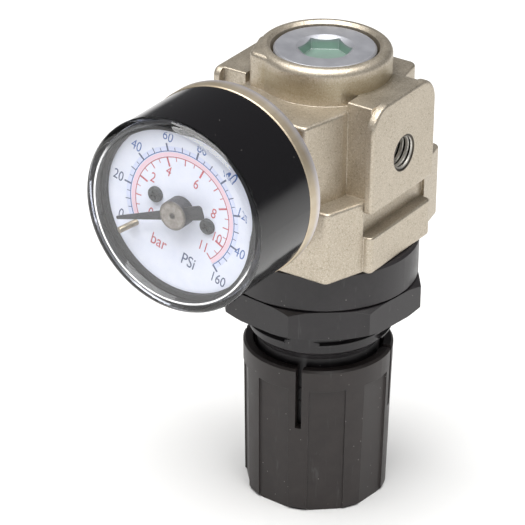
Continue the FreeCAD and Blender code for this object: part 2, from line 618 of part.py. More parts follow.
def make_stop_pin():
    foot = polar(STOP_PIN_FOOT_R, STOP_PIN_DEG)
    tip = polar(STOP_PIN_TIP_R, STOP_PIN_DEG)
    height = DIAL_FACE + STOP_PIN_HEIGHT
    pin = cylinder_along(STOP_PIN_R, foot + V(0, 0, DIAL_FACE - 1), tip + V(0, 0, height))
    above_dial = cylinder(DIAL_R, DIAL_FACE, height + 1)
    return on_gauge(pin.common(above_dial))


def make_pointer():
    front = POINTER_BACK + 0.25
    blade = prism([(0, -0.7, 0), (POINTER_REACH, -0.2, 0.15), (POINTER_REACH, 0.2, 0.15), (0, 0.7, 0)],
                  POINTER_BACK, front)
    tail = prism([(0, -0.8, 0), (0, 0.8, 0), (-4.4, 0.95, 0.5), (-4.4, -0.95, 0.5)], POINTER_BACK, front)
    sleeve = cylinder(POINTER_HUB_R, DIAL_FACE + 0.12, POINTER_HUB_FRONT)
    bore = cylinder(0.5, DIAL_FACE, LENS_FRONT)
    pointer = sleeve.multiFuse([blade, tail]).cut(bore).removeSplitter()
    return on_gauge(turned(pointer, POINTER_ZERO_DEG))


def make_pointer_cap():
    back, front = POINTER_HUB_FRONT, POINTER_HUB_FRONT + 0.15
    cap = revolved([(0, back), (POINTER_HUB_R, back), (POINTER_HUB_R, front - 0.07),
                    (POINTER_HUB_R - 0.1, front), (0.3, front), (0, front - 0.07)])
    return on_gauge(cap)


# ---- gauge movement ---------------------------------------------------------------------------------
def involute_half_angle(teeth, radius, backlash):
    """half the angle that a tooth spans at a radius"""
    pitch_r = GEAR_MODULE * teeth / 2
    base_r = pitch_r * math.cos(PRESSURE_ANGLE)
    local = math.acos(min(1.0, base_r / radius))
    rise = math.tan(PRESSURE_ANGLE) - PRESSURE_ANGLE - (math.tan(local) - local)
    return math.pi / (2 * teeth) - backlash / (2 * pitch_r) + rise


def gear_tooth(teeth, root_r, tip_r, low, high):
    """one tooth along +X, sunk a little into its wheel"""
    backlash = 0.05
    steps = 5
    radii = [root_r + (tip_r - root_r) * index / steps for index in range(steps + 1)]
    halves = [involute_half_angle(teeth, radius, backlash) for radius in radii]
    upper = [V(r * math.cos(h), r * math.sin(h), low) for r, h in zip(radii, halves)]
    lower = [V(r * math.cos(h), -r * math.sin(h), low) for r, h in zip(radii, halves)]
    sunk = root_r - 0.15
    first = V(sunk, sunk * math.tan(halves[0]), low)
    last = V(sunk, -sunk * math.tan(halves[0]), low)
    outline = [first] + upper + lower[::-1] + [last, first]
    return Part.Face(Part.makePolygon(outline)).extrude(V(0, 0, high - low))


def make_pointer_arbor():
    pitch_r = GEAR_MODULE * PINION_TEETH / 2
    root_r = pitch_r - 0.24
    toward_sector = math.degrees(math.atan2(SECTOR_PIVOT.y, SECTOR_PIVOT.x))
    tooth = gear_tooth(PINION_TEETH, root_r, pitch_r + 0.17, 26.8, 28.4)
    teeth = [turned(tooth, toward_sector + 360.0 * index / PINION_TEETH) for index in range(PINION_TEETH)]
    shaft = cylinder(0.48, 25.4, POINTER_HUB_FRONT - 0.05)
    return on_gauge(shaft.multiFuse([cylinder(root_r, 26.8, 28.4)] + teeth))


def make_sector_gear():
    teeth_in_full = PINION_TEETH * SECTOR_RATIO
    pitch_r = GEAR_MODULE * teeth_in_full / 2
    root_r = pitch_r - 0.26
    low, high = 27.2, 27.8
    toward_pinion = math.degrees(math.atan2(-SECTOR_PIVOT.y, -SECTOR_PIVOT.x))
    step = 360.0 / teeth_in_full
    tooth = gear_tooth(teeth_in_full, root_r, pitch_r + 0.11, low, high)
    places = [toward_pinion + (index + 0.5) * step for index in range(-9, 2)]
    first, last = places[0] - step, places[-1] + step
    middle = (first + last) / 2
    rim = [V(0, 0, low), V(0, 0, low) + polar(root_r, first), V(0, 0, low) + polar(root_r, last)]
    arc = Part.Arc(rim[1], V(0, 0, low) + polar(root_r, middle), rim[2]).toShape()
    outline = Part.Wire([Part.makeLine(rim[0], rim[1]), arc, Part.makeLine(rim[2], rim[0])])
    sheet = Part.Face(outline).extrude(V(0, 0, high - low))
    window = [(p.x, p.y, 0.3) for p in (polar(2.6, middle - 9), polar(6.4, middle - 16),
                                        polar(6.4, middle + 16), polar(2.6, middle + 9))]
    sheet = sheet.cut(prism(window, low - 1, high + 1))
    tail_deg = -SECTOR_SWING_DEG / 2
    tail = turned(prism([(0, -0.8, 0), (SECTOR_TAIL + 0.55, -0.55, 0.4), (SECTOR_TAIL + 0.55, 0.55, 0.4),
                         (0, 0.8, 0)], low, high), tail_deg)
    pin_place = polar(SECTOR_TAIL, tail_deg)
    pin = cylinder(0.35, 26.1, low + 0.1, pin_place.x, pin_place.y)
    shapes = [turned(tooth, place) for place in places] + [tail, pin, cylinder(1.1, low, high)]
    gear = sheet.multiFuse(shapes).cut(cylinder(0.4, low - 1, high + 1))
    return on_gauge(moved(gear, SECTOR_PIVOT.x, SECTOR_PIVOT.y))


def make_sector_arbor():
    return on_gauge(cylinder(0.4, 25.4, 29.9, SECTOR_PIVOT.x, SECTOR_PIVOT.y))


def make_tube_tip():
    block = box(9.4, 11.0, -1.8, 0, 22.1, 25.1)
    pin = cylinder(0.35, 25.0, 26.7, TUBE_R, -0.9)
    return on_gauge(block.fuse(pin))


def make_link():
    swing = math.radians(SECTOR_SWING_DEG / 2)
    eye_x = SECTOR_PIVOT.x + SECTOR_TAIL * (1 + math.cos(swing)) / 2
    eye_y = SECTOR_PIVOT.y - SECTOR_TAIL * math.sin(swing)
    low, high = 26.3, 26.6
    upper = V(TUBE_R, -0.9, low)
    lower = V(eye_x, eye_y, low)
    along = (lower - upper).normalize()
    across = V(-along.y, along.x, 0) * 0.4
    corners = [upper + across, lower + across, lower - across, upper - across]
    bar = Part.Face(Part.makePolygon(corners + corners[:1])).extrude(V(0, 0, high - low))
    ends = [cylinder(0.75, low, high, place.x, place.y) for place in (upper, lower)]
    link = bar.multiFuse(ends)
    link = link.cut(cylinder(0.35, low - 1, high + 1, upper.x, upper.y))
    return on_gauge(link.cut(cylinder(0.42, low - 1, high + 1, lower.x, lower.y)))


def plate_outline(low, high):
    """movement plate: a round middle with an ear around the sector's pivot"""
    out = polar(1, math.degrees(math.atan2(SECTOR_PIVOT.y, SECTOR_PIVOT.x)))
    across = V(-out.y, out.x, 0)
    middle_r, ear_r = 6.9, 1.7
    corners = [across * middle_r, SECTOR_PIVOT + across * ear_r, SECTOR_PIVOT - across * ear_r,
               across * -middle_r]
    bridge = prism([(p.x, p.y, 0) for p in corners], low, high)
    ear = cylinder(ear_r, low, high, SECTOR_PIVOT.x, SECTOR_PIVOT.y)
    return cylinder(middle_r, low, high).multiFuse([bridge, ear])


def pillar_places():
    return [polar(5.9, angle) for angle in (140, -100, 48)]


def drilled_plate(low, high, pillar_hole_r):
    plate = plate_outline(low, high)
    plate = plate.cut(cylinder(0.53, low - 1, high + 1))
    plate = plate.cut(cylinder(0.45, low - 1, high + 1, SECTOR_PIVOT.x, SECTOR_PIVOT.y))
    for place in pillar_places():
        plate = plate.cut(cylinder(pillar_hole_r, low - 1, high + 1, place.x, place.y))
    return plate


def make_movement_back_plate():
    return on_gauge(drilled_plate(25.3, 25.9, 0.5))


def make_movement_front_plate():
    back_of_dial = DIAL_FACE - DIAL_THICKNESS
    plate = drilled_plate(29.1, 29.8, 0.5)
    for place in dial_screw_places():
        plate = plate.fuse(cylinder(1.0, 29.6, back_of_dial, place.x, place.y))
        plate = plate.cut(cylinder(0.5, DIAL_FACE - 1.3, back_of_dial + 1, place.x, place.y))
    return on_gauge(plate)


def make_movement_pillars():
    pillars = [cylinder(0.8, 25.9, 29.1, place.x, place.y) for place in pillar_places()]
    holes = [cylinder(0.42, 27.4, 30.0, place.x, place.y) for place in pillar_places()]
    return on_gauge(Part.Compound([pillar.cut(hole) for pillar, hole in zip(pillars, holes)]))


def make_movement_screws():
    screws = []
    for place in pillar_places():
        head = cylinder(0.85, 29.8, 30.3, place.x, place.y)
        shank = cylinder(0.4, 27.6, 29.9, place.x, place.y)
        slot = moved(box(-1.0, 1.0, -0.12, 0.12, 30.1, 31), place.x, place.y)
        screws.append(head.fuse(shank).cut(slot))
    return on_gauge(Part.Compound(screws))


def make_hairspring():
    """flat spiral strip around the pointer arbor, with its outer stud"""
    turns, inner_r, outer_r, strip = 4, 0.9, 3.2, 0.12
    steps = 12 * turns

    def edge(offset):
        points = []
        for index in range(steps + 1):
            share = index / steps
            points.append(polar(inner_r + (outer_r - inner_r) * share + offset, 360 * turns * share))
        curve = Part.BSplineCurve()
        curve.interpolate(points)
        return curve.toShape()

    inside, outside = edge(0), edge(strip)
    caps = [Part.makeLine(inside.Vertexes[index].Point, outside.Vertexes[index].Point) for index in (0, -1)]
    wire = Part.Wire(Part.__sortEdges__([inside, outside] + caps))
    spiral = Part.Face(wire).extrude(V(0, 0, 0.35))
    stud = cylinder(0.22, 25.9, 26.75, outer_r + 0.25)
    return on_gauge(moved(spiral, z=26.2).fuse(stud))


PIECES = {
    "body": make_body,
    "valve_guide_plug": make_valve_guide_plug,
    "plug_o_ring": make_plug_o_ring,
    "valve_poppet": make_valve_poppet,
    "valve_rubber": make_valve_rubber,
    "valve_spring": make_valve_spring,
    "rear_gauge_plug": make_rear_gauge_plug,
    "slip_ring": make_slip_ring,
    "diaphragm": make_diaphragm,
    "relief_seat": make_relief_seat,
    "diaphragm_plate": make_diaphragm_plate,
    "main_spring": make_main_spring,
    "bonnet": make_bonnet,
    "panel_nut": make_panel_nut,
    "adjusting_nut": make_adjusting_nut,
    "thrust_washer": make_thrust_washer,
    "adjusting_screw": make_adjusting_screw,
    "knob": make_knob,
    "gauge_socket": make_gauge_socket,
    "gauge_case": make_gauge_case,
    "gauge_sleeve": make_gauge_sleeve,
    "lens": make_lens,
    "lens_gasket": make_lens_gasket,
    "dial": make_dial,
    "dial_screws": make_dial_screws,
    "stop_pin": make_stop_pin,
    "pointer": make_pointer,
    "pointer_cap": make_pointer_cap,
    "pointer_arbor": make_pointer_arbor,
    "sector_gear": make_sector_gear,
    "sector_arbor": make_sector_arbor,
    "bourdon_tube": make_bourdon_tube,
    "tube_tip": make_tube_tip,
    "link": make_link,
    "movement_back_plate": make_movement_back_plate,
    "movement_front_plate": make_movement_front_plate,
    "movement_pillars": make_movement_pillars,
    "movement_screws": make_movement_screws,
    "hairspring": make_hairspring,
}

os.makedirs("parts", exist_ok=True)
for node, make in PIECES.items():
    shape = make()
    shape.exportStep(f"parts/{node}.step")
    print(f"{node:22s} valid {shape.isValid()} solids {len(shape.Solids)} volume {shape.Volume:.3f}")
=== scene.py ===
import math

import bmesh
import bpy
from mathutils import Matrix, Vector


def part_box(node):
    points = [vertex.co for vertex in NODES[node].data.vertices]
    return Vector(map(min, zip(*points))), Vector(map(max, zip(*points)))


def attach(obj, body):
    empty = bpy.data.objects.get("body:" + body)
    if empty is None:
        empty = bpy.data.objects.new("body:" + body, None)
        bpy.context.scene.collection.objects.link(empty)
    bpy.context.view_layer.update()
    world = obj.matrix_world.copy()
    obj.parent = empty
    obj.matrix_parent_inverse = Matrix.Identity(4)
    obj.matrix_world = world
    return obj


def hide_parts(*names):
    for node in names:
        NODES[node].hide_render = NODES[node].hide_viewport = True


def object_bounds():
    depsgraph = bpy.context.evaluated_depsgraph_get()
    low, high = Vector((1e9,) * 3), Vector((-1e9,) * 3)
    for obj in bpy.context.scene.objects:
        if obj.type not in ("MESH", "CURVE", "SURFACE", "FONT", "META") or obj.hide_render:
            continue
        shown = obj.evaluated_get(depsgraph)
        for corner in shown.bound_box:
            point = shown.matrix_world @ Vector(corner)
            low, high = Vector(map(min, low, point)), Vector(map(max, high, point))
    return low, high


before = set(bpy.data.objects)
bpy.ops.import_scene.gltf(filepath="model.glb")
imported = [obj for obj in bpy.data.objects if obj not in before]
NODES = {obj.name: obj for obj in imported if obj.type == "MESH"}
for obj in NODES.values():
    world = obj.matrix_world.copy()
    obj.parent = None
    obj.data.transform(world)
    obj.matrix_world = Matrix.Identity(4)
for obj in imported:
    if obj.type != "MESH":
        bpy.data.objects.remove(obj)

# Looks of a miniature air pressure regulator. Metres; +Z up through the top boss, gauge facing -Y.
MM = 0.001
CAD_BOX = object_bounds()
SCENE = bpy.context.scene

# Places read from the frame.
FLOOR_Z = CAD_BOX[0].z
DIAL_LOW, DIAL_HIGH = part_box("dial")
GAUGE_Z = (DIAL_LOW.z + DIAL_HIGH.z) / 2
DIAL_FACE_Y = DIAL_LOW.y
LENS_LOW, LENS_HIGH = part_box("lens")
LENS_R = (LENS_HIGH.x - LENS_LOW.x) / 2
SLEEVE_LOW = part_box("gauge_sleeve")[0]
CASE_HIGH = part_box("gauge_case")[1]

# Ports: height of their axis, and radii in millimetres of the thread's land, its groove and the mouth.
PORT_Z = 20.5 * MM
PORT_LAND_R, PORT_GROOVE_R = 2.14, 2.30
PORT_MOUTH_R = 2.55


# ---- node graphs --------------------------------------------------------------------------------------
class Graph:
    """A material's node tree, built call by call."""

    def __init__(self, name):
        self.material = bpy.data.materials.new(name)
        self.material.use_nodes = True
        self.tree = self.material.node_tree
        self.tree.nodes.clear()
        self.shader = self.node("ShaderNodeBsdfPrincipled")
        self.output = self.node("ShaderNodeOutputMaterial")
        self.link(self.shader.outputs["BSDF"], self.output.inputs["Surface"])
        self.place = self.node("ShaderNodeTexCoord").outputs["Object"]
        self.normal = None

    def node(self, kind, **settings):
        made = self.tree.nodes.new(kind)
        for key, value in settings.items():
            setattr(made, key, value)
        return made

    def link(self, source, target):
        self.tree.links.new(source, target)

    def feed(self, socket, value):
        """sets a socket to a plain value, or links it to another socket"""
        if isinstance(value, bpy.types.NodeSocket):
            self.link(value, socket)
        else:
            socket.default_value = value

    def plain(self, **values):
        """plain values on the shader's own sockets: Metallic=1 or Coat_Weight=0.3"""
        for key, value in values.items():
            self.shader.inputs[key.replace("_", " ")].default_value = value

    def scaled(self, stretch):
        """object coordinates stretched per axis, for brushed or layered marks"""
        mapping = self.node("ShaderNodeMapping")
        self.link(self.place, mapping.inputs["Vector"])
        mapping.inputs["Scale"].default_value = stretch
        return mapping.outputs["Vector"]

    def along(self, axis):
        """one of the object coordinates"""
        parts = self.node("ShaderNodeSeparateXYZ")
        self.link(self.place, parts.inputs[0])
        return parts.outputs[axis]

    def noise(self, size_mm, detail=3.0, roughness=0.55, stretch=None, distortion=0.0):
        """noise whose blobs are about size_mm across"""
        noise = self.node("ShaderNodeTexNoise")
        self.link(self.place if stretch is None else self.scaled(stretch), noise.inputs["Vector"])
        noise.inputs["Scale"].default_value = 1 / (size_mm * MM)
        noise.inputs["Detail"].default_value = detail
        noise.inputs["Roughness"].default_value = roughness
        noise.inputs["Distortion"].default_value = distortion
        return noise.outputs["Fac"]

    def cells(self, size_mm, feature="F1", randomness=1.0):
        cells = self.node("ShaderNodeTexVoronoi", feature=feature)
        self.link(self.place, cells.inputs["Vector"])
        cells.inputs["Scale"].default_value = 1 / (size_mm * MM)
        cells.inputs["Randomness"].default_value = randomness
        return cells.outputs["Distance"]

    def spread(self, value, low, high, to_low=0.0, to_high=1.0):
        """the value's stretch from low to high, mapped and clamped"""
        mapped = self.node("ShaderNodeMapRange", clamp=True)
        for index, number in enumerate((value, low, high, to_low, to_high)):
            self.feed(mapped.inputs[index], number)
        return mapped.outputs["Result"]

    def math(self, operation, first, second=0.0):
        made = self.node("ShaderNodeMath", operation=operation)
        self.feed(made.inputs[0], first)
        self.feed(made.inputs[1], second)
        return made.outputs["Value"]

    def blend(self, share, first, second):
        """colour mix, as RGB triples or sockets"""
        mixed = self.node("ShaderNodeMix", data_type="RGBA")
        self.feed(mixed.inputs["Factor"], share)
        for socket, colour in ((mixed.inputs[6], first), (mixed.inputs[7], second)):
            self.feed(socket, (*colour, 1.0) if isinstance(colour, tuple) else colour)
        return mixed.outputs[2]

    def round_edges(self, radius_mm):
        """normals that ease round sharp edges"""
        bevel = self.node("ShaderNodeBevel", samples=6)
        bevel.inputs["Radius"].default_value = radius_mm * MM
        self.normal = bevel.outputs["Normal"]
        return self.normal

    def edge_share(self):
        """1 along eased edges, 0 on open faces"""
        flat = self.node("ShaderNodeNewGeometry").outputs["Normal"]
        product = self.node("ShaderNodeVectorMath", operation="DOT_PRODUCT")
        self.link(self.normal, product.inputs[0])
        self.link(flat, product.inputs[1])
        return self.spread(product.outputs["Value"], 0.995, 0.86, 0.0, 1.0)

    def bump(self, height, depth_mm, strength=1.0):
        bump = self.node("ShaderNodeBump")
        bump.inputs["Distance"].default_value = depth_mm * MM
        bump.inputs["Strength"].default_value = strength
        self.link(height, bump.inputs["Height"])
        if self.normal is not None:
            self.link(self.normal, bump.inputs["Normal"])
        self.normal = bump.outputs["Normal"]

    def done(self, colour, roughness):
        self.feed(self.shader.inputs["Base Color"], (*colour, 1.0) if isinstance(colour, tuple) else colour)
        self.feed(self.shader.inputs["Roughness"], roughness)
        if self.normal is not None:
            self.link(self.normal, self.shader.inputs["Normal"])
        return self.material

    def radius_mm(self, axis):
        """millimetres from an axis: the ports' "X", the gauge's "Y" or the main "Z" """
        height, kept = {"X": (PORT_Z, (0, 1, 1)), "Y": (GAUGE_Z, (1, 0, 1)), "Z": (0, (1, 1, 0))}[axis]
        moved = self.node("ShaderNodeMapping")
        self.link(self.place, moved.inputs["Vector"])
        moved.inputs["Location"].default_value = (0, 0, -height)
        flatten = self.node("ShaderNodeVectorMath", operation="MULTIPLY")
        self.link(moved.outputs["Vector"], flatten.inputs[0])
        flatten.inputs[1].default_value = kept
        length = self.node("ShaderNodeVectorMath", operation="LENGTH")
        self.link(flatten.outputs["Vector"], length.inputs[0])
        return self.math("MULTIPLY", length.outputs["Value"], 1 / MM)


# ---- materials ----------------------------------------------------------------------------------------
def boss_side(g):
    """where the painted shade on the die casting goes: 1 on the side of the top boss, fading out towards the
    ledge and the boss's rounded rim
    """
    height = g.along("Z")
    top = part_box("body")[1].z
    above = g.spread(height, top - 5.0 * MM, top - 3.6 * MM)
    below = g.spread(height, top - 2.0 * MM, top - 1.0 * MM, 1.0, 0.0)
    near = g.spread(g.radius_mm("Z"), 9.0, 9.5, 1.0, 0.0)
    return g.math("MULTIPLY", g.math("MULTIPLY", above, below), near)


def die_cast():
    """satin champagne-coloured die casting: fine shot-blast grain, faint flow marks, painted highlights along
    the eased edges, painted shade on the boss side, painted light and shade in the port threads
    """
    g = Graph("die_cast_champagne")
    g.round_edges(0.12)
    edge = g.edge_share()
    grain = g.noise(0.16, 2.0, 0.6)
    flow = g.noise(5.0, 4.0, 0.6)
    warm = g.blend(g.spread(flow, 0.35, 0.65), (0.46, 0.40, 0.315), (0.54, 0.475, 0.385))
    speckled = g.blend(g.spread(grain, 0.50, 0.64, 0.0, 0.55), warm, (0.72, 0.68, 0.60))
    pitted = g.blend(g.spread(g.noise(0.3, 3.0, 0.7), 0.54, 0.68, 0.0, 0.55), speckled, (0.24, 0.205, 0.14))
    # painted shade: olive-brown darkening on the boss side below its rim
    boss_shaded = g.blend(g.math("MULTIPLY", boss_side(g), 0.5), pitted, (0.26, 0.21, 0.11))
    # painted highlight: the eased edges are lightened towards a pale champagne
    colour = g.blend(g.math("MULTIPLY", edge, 0.5), boss_shaded, (0.74, 0.70, 0.62))
    g.bump(g.math("ADD", grain, g.noise(0.45, 3.0)), 0.026)
    g.plain(Metallic=0.85, Specular_IOR_Level=0.5)
    rough = g.math("SUBTRACT", g.spread(flow, 0.3, 0.7, 0.40, 0.50), g.math("MULTIPLY", edge, 0.14))
    port = g.radius_mm("X")
    # painted light and shade inside the ports: pale lands stand for lit thread crests, near-black grooves for
    # the shade between them
    thread_light_and_shade = g.blend(g.spread(port, PORT_LAND_R, PORT_GROOVE_R), (0.86, 0.83, 0.77), (0.06, 0.05, 0.038))
    inside = g.spread(port, PORT_MOUTH_R - 0.03, PORT_MOUTH_R + 0.03, 1.0, 0.0)
    colour = g.blend(inside, colour, thread_light_and_shade)
    return g.done(colour, rough)


def turned_metal(name, colour, dark, axis, roughness):
    """lathe-turned metal: fine concentric tool marks and slight tarnish"""
    g = Graph(name)
    g.round_edges(0.08)
    rings = g.math("SINE", g.math("MULTIPLY", g.radius_mm(axis), 60.0))
    worn = g.noise(1.2, 4.0, 0.65)
    shade = g.blend(g.spread(worn, 0.35, 0.7), colour, dark)
    g.bump(g.math("ADD", g.math("MULTIPLY", rings, 0.5), g.noise(0.1, 2.0)), 0.004)
    g.plain(Metallic=1.0)
    return g.done(shade, g.spread(worn, 0.3, 0.7, roughness - 0.06, roughness + 0.1))


def plug_metal():
    """grey plug with a fine-faced top, anodised blue-green inside its hex socket, and painted highlights
    along its eased edges
    """
    g = Graph("plug_faced_metal")
    g.round_edges(0.12)
    edge = g.edge_share()
    rings = g.math("SINE", g.math("MULTIPLY", g.radius_mm("Z"), 34.0))
    cloud = g.noise(2.2, 4.0, 0.6)
    top = g.blend(g.spread(cloud, 0.35, 0.65), (0.37, 0.375, 0.41), (0.42, 0.425, 0.46))
    top_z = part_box("valve_guide_plug")[1].z
    depth = g.spread(g.along("Z"), top_z - 0.9 * MM, top_z - 0.35 * MM, 1.0, 0.0)
    inside = g.spread(g.radius_mm("Z"), 3.5, 4.1, 1.0, 0.0)
    socket = g.math("MULTIPLY", depth, inside)
    tinted = g.blend(socket, top, (0.30, 0.41, 0.36))
    # painted highlight: the eased edges are lightened towards pale grey
    colour = g.blend(g.math("MULTIPLY", edge, 0.6), tinted, (0.78, 0.80, 0.82))
    g.bump(g.math("ADD", rings, g.noise(0.2, 3.0)), 0.004)
    g.plain(Metallic=0.6)
    return g.done(colour, g.spread(cloud, 0.3, 0.7, 0.36, 0.46))


def brushed(name, colour, dark, stretch, roughness=0.34):
    """rolled or brushed metal with streaks along one axis"""
    g = Graph(name)
    g.round_edges(0.06)
    streaks = g.noise(0.5, 4.0, 0.7, stretch)
    patches = g.noise(2.5, 3.0)
    worn = g.math("ADD", streaks, g.math("MULTIPLY", patches, 0.5))
    shade = g.blend(g.spread(worn, 0.5, 1.0), colour, dark)
    g.bump(streaks, 0.004)
    g.plain(Metallic=1.0)
    return g.done(shade, g.spread(streaks, 0.3, 0.7, roughness - 0.06, roughness + 0.12))


def rubber(name, base=(0.012, 0.012, 0.013), bloomed=(0.035, 0.035, 0.036)):
    """matt black rubber with mould bloom"""
    g = Graph(name)
    bloom = g.noise(1.5, 4.0, 0.6)
    shade = g.blend(g.spread(bloom, 0.4, 0.75), base, bloomed)
    g.bump(g.noise(0.12, 3.0), 0.006)
    g.plain(Specular_IOR_Level=0.4)
    return g.done(shade, g.spread(bloom, 0.3, 0.7, 0.5, 0.72))


def black_plastic(name, base, worn, gloss, grain_mm=0.10):
    """moulded black plastic: spark-eroded grain, rubbed edges, dust specks and hairline scuffs"""
    g = Graph(name)
    g.round_edges(0.07)
    edge = g.edge_share()
    grain = g.noise(grain_mm, 3.0, 0.6)
    handled = g.noise(3.0, 5.0, 0.65)
    scuffs = g.noise(1.2, 3.0, 0.8, (1.0, 1.0, 0.12), 0.4)
    tone = g.blend(g.spread(handled, 0.35, 0.7), base, worn)
    scuffed = g.blend(g.spread(scuffs, 0.63, 0.72, 0.0, 0.30), tone, (0.10, 0.098, 0.10))
    rubbed = g.blend(g.math("MULTIPLY", edge, 0.35), scuffed, (0.12, 0.118, 0.12))
    dust = g.spread(g.cells(1.3), 0.070, 0.045)
    colour = g.blend(g.math("MULTIPLY", dust, 0.55), rubbed, (0.34, 0.32, 0.30))
    g.bump(grain, 0.010)
    g.plain(Specular_IOR_Level=0.42)
    return g.done(colour, g.spread(handled, 0.3, 0.7, gloss - 0.05, gloss + 0.09))


def sleeve_black():
    """smooth glossy black, with a few dust specks and very slight orange peel"""
    g = Graph("sleeve_gloss_black")
    peel = g.noise(1.6, 2.0)
    dust = g.spread(g.cells(1.6), 0.042, 0.026)
    colour = g.blend(g.math("MULTIPLY", dust, 0.5), (0.006, 0.0055, 0.0065), (0.35, 0.32, 0.30))
    g.bump(peel, 0.0025)
    g.plain(Specular_IOR_Level=0.5)
    return g.done(colour, g.spread(g.noise(4.0, 4.0), 0.35, 0.7, 0.10, 0.20))


def case_gold():
    """lacquered pale gold sheet, rolled round the gauge, going silvery towards its rolled rear edge"""
    g = Graph("case_pale_gold")
    g.round_edges(0.10)
    streaks = g.noise(0.6, 4.0, 0.7, (1.0, 0.05, 1.0))
    clouds = g.noise(3.0, 3.0)
    gold = g.blend(g.spread(clouds, 0.35, 0.65), (0.52, 0.43, 0.31), (0.60, 0.52, 0.40))
    rear = g.spread(g.along("Y"), CASE_HIGH.y - 1.6 * MM, CASE_HIGH.y - 0.5 * MM)
    silver = g.blend(rear, gold, (0.66, 0.63, 0.66))
    g.bump(streaks, 0.0015)
    g.plain(Metallic=0.8)
    return g.done(silver, g.spread(streaks, 0.3, 0.7, 0.40, 0.48))


def cap_metal():
    """worn brownish cap with a dark punched centre and a darker rim"""
    g = Graph("cap_worn_metal")
    g.round_edges(0.05)
    worn = g.noise(0.7, 4.0, 0.65)
    face = g.blend(g.spread(worn, 0.35, 0.68), (0.22, 0.195, 0.17), (0.36, 0.33, 0.30))
    radius = g.radius_mm("Y")
    dimple = g.spread(radius, 0.30, 0.50, 0.85, 0.0)
    rim = g.spread(radius, 1.55, 1.80, 0.0, 0.5)
    colour = g.blend(g.math("MAXIMUM", dimple, rim), face, (0.05, 0.042, 0.038))
    g.bump(g.math("ADD", worn, g.spread(radius, 0.25, 0.5)), 0.03)
    g.plain(Metallic=0.9)
    return g.done(colour, g.spread(worn, 0.3, 0.7, 0.34, 0.46))


def pale_plastic():
    g = Graph("acetal_pale")
    flow = g.noise(1.5, 3.0)
    g.bump(g.noise(0.15, 3.0), 0.006)
    colour = g.blend(g.spread(flow, 0.35, 0.7), (0.72, 0.70, 0.64), (0.80, 0.78, 0.73))
    return g.done(colour, g.spread(flow, 0.3, 0.7, 0.38, 0.5))


def dial_paint():
    """cool white printed dial with the faintest paper-like mottling"""
    g = Graph("dial_white")
    mottle = g.noise(1.8, 5.0, 0.6)
    colour = g.blend(g.spread(mottle, 0.3, 0.7), (0.76, 0.79, 0.90), (0.82, 0.84, 0.93))
    g.bump(g.noise(0.12, 2.0), 0.003)
    return g.done(colour, g.spread(mottle, 0.3, 0.7, 0.42, 0.52))


def dial_ink(name, colour):
    """printed ink, slightly uneven"""
    g = Graph(name)
    thin = g.noise(0.35, 3.0, 0.6)
    light = tuple(0.75 * channel + 0.2 for channel in colour)
    shade = g.blend(g.spread(thin, 0.5, 0.8, 0.0, 0.4), colour, light)
    return g.done(shade, g.spread(thin, 0.3, 0.7, 0.4, 0.5))


def pointer_paint(name, tone=(0.012, 0.012, 0.015)):
    g = Graph(name)
    g.round_edges(0.05)
    coat = g.noise(0.6, 3.0)
    g.bump(g.noise(0.08, 2.0), 0.003)
    light = tuple(2.0 * channel for channel in tone)
    return g.done(g.blend(g.spread(coat, 0.4, 0.7), tone, light), g.spread(coat, 0.3, 0.7, 0.38, 0.55))


def lens_clear():
    """clear moulded lens that lets lamps through, with a trace of haze"""
    g = Graph("lens_clear")
    haze = g.noise(3.0, 3.0)
    g.plain(Transmission_Weight=1.0, IOR=1.49)
    g.done((0.985, 0.99, 1.0), g.spread(haze, 0.3, 0.8, 0.0, 0.02))
    passing = g.node("ShaderNodeBsdfTransparent")
    passing.inputs["Color"].default_value = (0.94, 0.95, 0.97, 1.0)
    choice = g.node("ShaderNodeMixShader")
    g.link(g.node("ShaderNodeLightPath").outputs["Is Shadow Ray"], choice.inputs["Fac"])
    g.link(g.shader.outputs["BSDF"], choice.inputs[1])
    g.link(passing.outputs["BSDF"], choice.inputs[2])
    g.link(choice.outputs["Shader"], g.output.inputs["Surface"])
    return g.material


def floor_paint():
    g = Graph("floor_pale")
    soft = g.noise(60.0, 3.0)
    return g.done(g.blend(g.spread(soft, 0.3, 0.7), (0.90, 0.90, 0.90), (0.93, 0.93, 0.93)), 0.8)


BRASS = turned_metal("brass_turned", (0.66, 0.48, 0.22), (0.45, 0.31, 0.13), "Y", 0.28)
BRASS_UPRIGHT = turned_metal("brass_turned_upright", (0.66, 0.48, 0.22), (0.45, 0.31, 0.13), "Z", 0.28)
STEEL = turned_metal("zinc_steel", (0.60, 0.60, 0.58), (0.42, 0.42, 0.42), "Z", 0.34)
STEEL_FACE = turned_metal("steel_turned_face", (0.56, 0.54, 0.50), (0.40, 0.37, 0.33), "Y", 0.36)
SPRING = brushed("spring_wire", (0.36, 0.36, 0.38), (0.22, 0.22, 0.24), (1.0, 1.0, 0.2))
SHEET_BRASS = brushed("brass_sheet", (0.66, 0.49, 0.23), (0.50, 0.35, 0.15), (0.1, 1.0, 1.0), 0.30)
RUBBER = rubber("nitrile_black")
GASKET_BLACK = rubber("gasket_black", (0.005, 0.005, 0.006), (0.010, 0.010, 0.011))
DULL_BRASS = turned_metal("brass_dulled", (0.42, 0.36, 0.27), (0.30, 0.25, 0.18), "Y", 0.36)
BODY_METAL = die_cast()
HOUSING_PLASTIC = black_plastic("bonnet_plastic", (0.018, 0.016, 0.0175), (0.029, 0.026, 0.028), 0.38)
KNOB_PLASTIC = black_plastic("knob_plastic", (0.022, 0.017, 0.016), (0.036, 0.029, 0.0275), 0.44, 0.12)
PALE = pale_plastic()
POINTER_BLACK = pointer_paint("pointer_black")
SCREW_BLACK = pointer_paint("dial_screw_black", (0.016, 0.019, 0.020))

